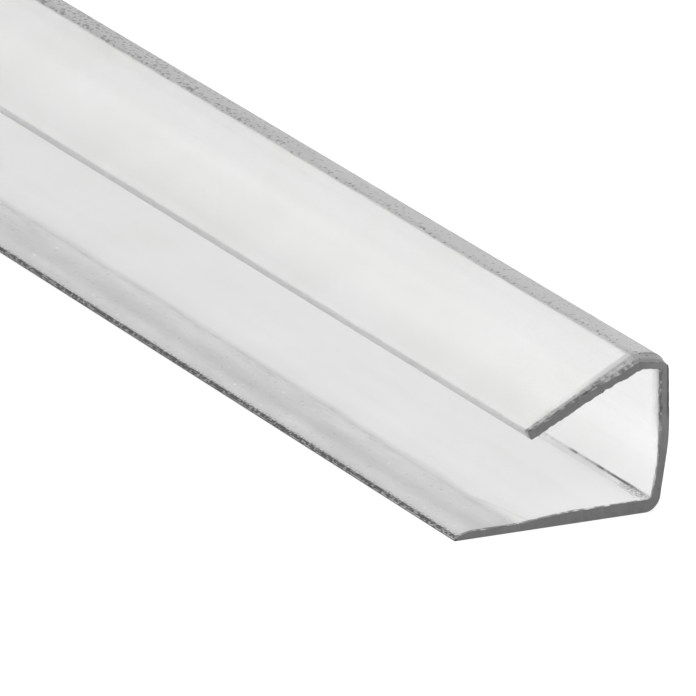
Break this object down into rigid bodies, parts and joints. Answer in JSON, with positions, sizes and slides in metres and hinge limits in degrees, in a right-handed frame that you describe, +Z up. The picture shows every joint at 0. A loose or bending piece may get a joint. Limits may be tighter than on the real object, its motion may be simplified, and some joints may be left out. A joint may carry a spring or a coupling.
{
  "type": "polycarbonate u-profile",
  "caption": "Clear polycarbonate U-profile: long extruded trim with a sloping spring leg over a longer flat leg, pushed over the cut edge of multiwall roofing sheet to close it.",
  "frame": {"origin": "middle of the length and of the width, on the flat underside of the lower leg", "axes": "+X along the length, +Y from the open mouth of the slot towards the web, +Z up from the lower leg to the upper leg"},
  "size_m": [0.98, 0.0292, 0.0203],
  "materials": {
    "polycarbonate": "clear, slightly hazy, smooth as extruded, with sawn ends"
  },
  "bodies": {
    "root": {"u_profile": "polycarbonate"}
  },
  "joints": []
}
